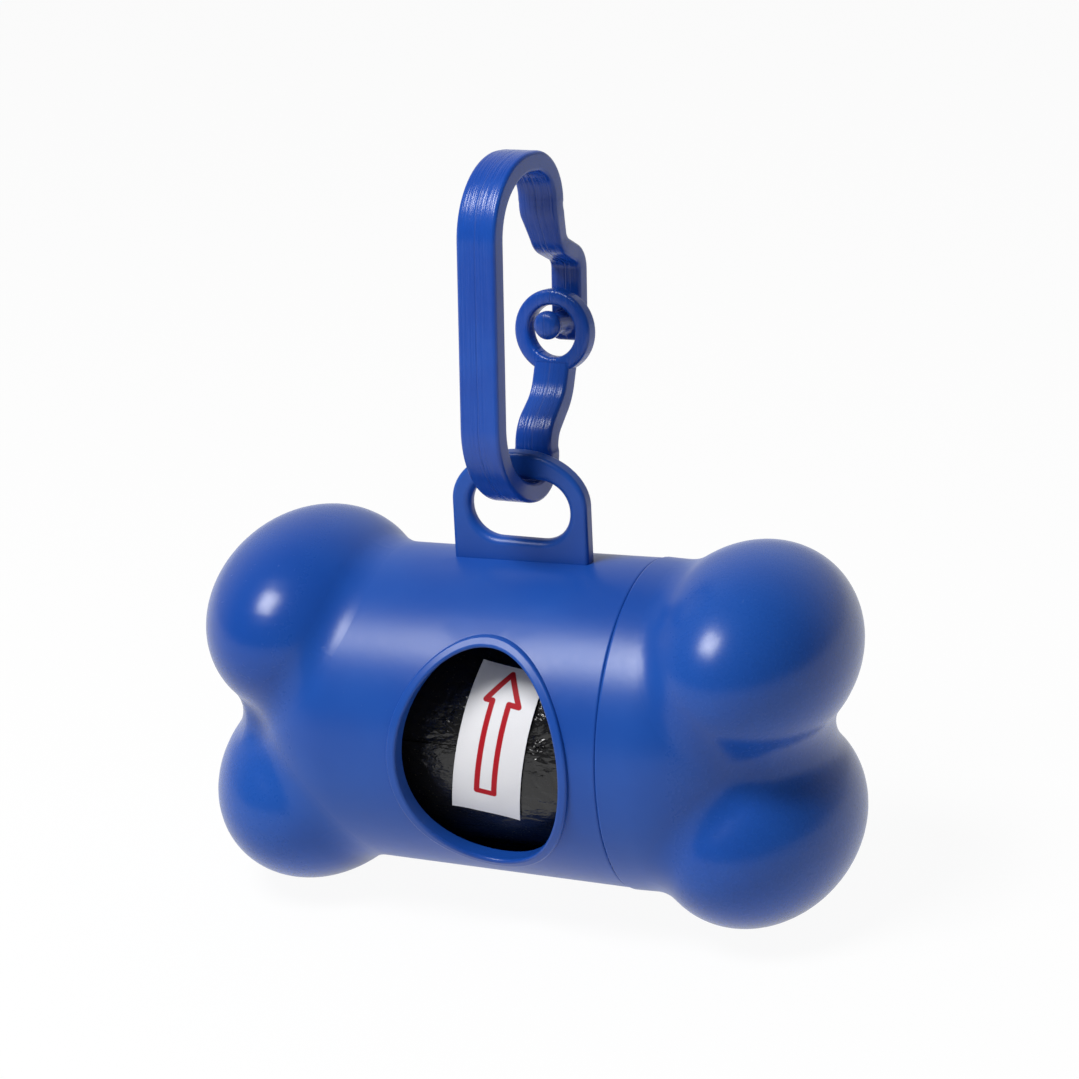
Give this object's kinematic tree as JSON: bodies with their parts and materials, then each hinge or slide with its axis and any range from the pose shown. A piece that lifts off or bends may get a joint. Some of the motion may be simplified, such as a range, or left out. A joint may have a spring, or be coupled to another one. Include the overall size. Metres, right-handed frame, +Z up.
{
  "type": "waste bag dispenser",
  "caption": "Bone-shaped hanging dispenser for rolled waste bags, with an oval window, a pull-off end cap and a snap-closing strap clip in its lug.",
  "frame": {"origin": "the point inside the top of the clip, straight above the eye, by which the object hangs", "axes": "+X along the barrel towards the cap, -Y to the front with the window, +Z up"},
  "size_m": [0.0797, 0.0396, 0.0896],
  "materials": {
    "shell_plastic": "satin moulded blue",
    "clip_plastic": "glossy moulded blue",
    "bag_film": "glossy crinkled black film",
    "paperboard": "plain wound paperboard",
    "label_paper": "coated white paper"
  },
  "bodies": {
    "clip": {"clip_spine": "clip_plastic"},
    "stud_arm": {"clip_stud_arm": "clip_plastic"},
    "ring_arm": {"clip_ring_arm": "clip_plastic"},
    "barrel": {"barrel_shell": "shell_plastic"},
    "cap": {"end_cap": "shell_plastic"},
    "roll": {"roll_core": "paperboard", "bag_01": "bag_film", "bag_02": "bag_film", "bag_03": "bag_film", "bag_04": "bag_film", "bag_05": "bag_film", "bag_06": "bag_film", "bag_07": "bag_film", "bag_08": "bag_film", "bag_09": "bag_film", "bag_10": "bag_film", "bag_11": "bag_film", "bag_12": "bag_film", "bag_13": "bag_film", "bag_14": "bag_film", "bag_15": "bag_film", "roll_label": "label_paper"}
  },
  "joints": [
    {"name": "barrel_swing", "type": "hinge", "parent": "clip", "child": "barrel", "pos_m": [0, 0, -0.03335], "axis": [1, 0, 0], "range_deg": [-50, 50]},
    {"name": "cap_pull", "type": "slide", "parent": "barrel", "child": "cap", "axis": [1, 0, 0], "range_m": [0, 0.045]},
    {"name": "roll_spin", "type": "hinge", "parent": "barrel", "child": "roll", "pos_m": [0, 0, -0.06565], "axis": [1, 0, 0], "continuous": true},
    {"name": "stud_arm_flex", "type": "hinge", "parent": "clip", "child": "stud_arm", "pos_m": [-0.00003, 0.01024, -0.00476], "axis": [0.9919, -0.12, 0.0419], "range_deg": [0, 40], "stiffness_Nm_per_rad": 0.05},
    {"name": "ring_arm_flex", "type": "hinge", "parent": "clip", "child": "ring_arm", "pos_m": [0.0004, 0.00456, -0.03113], "axis": [0.9919, -0.12, 0.0419], "range_deg": [0, 20], "stiffness_Nm_per_rad": 0.05}
  ]
}
